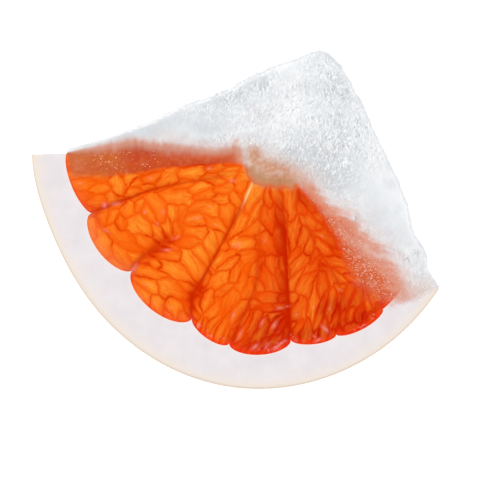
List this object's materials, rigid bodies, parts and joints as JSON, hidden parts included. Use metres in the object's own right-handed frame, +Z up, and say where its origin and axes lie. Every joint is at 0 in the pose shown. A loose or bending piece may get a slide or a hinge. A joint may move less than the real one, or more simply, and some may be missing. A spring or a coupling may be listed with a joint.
{
  "type": "grapefruit slice with ice",
  "caption": "Part of a grapefruit cross slice with pulp segments, white pith and thin peel, cut edges held in a lump of frosted ice.",
  "frame": {"origin": "the fruit's axis where it meets the slice's lower cut face, which is the underside", "axes": "+X along the slice's long side, from the free peel end to the iced peel end; +Y from the peel's arc towards the ice; +Z up out of the upper cut face"},
  "size_m": [0.1034, 0.0854, 0.0142],
  "materials": {
    "pulp": "wet translucent orange-red pulp with darker seams between the vesicles",
    "pith": "matte, spongy, nearly white, with faint blotches",
    "peel": "satin pale yellow-pink peel with fine oil glands",
    "ice": "frosted white ice with fine streaky crystals, clearer where it is thin over the pulp"
  },
  "bodies": {
    "root": {"slice": "pulp", "ice": "ice"}
  },
  "joints": []
}
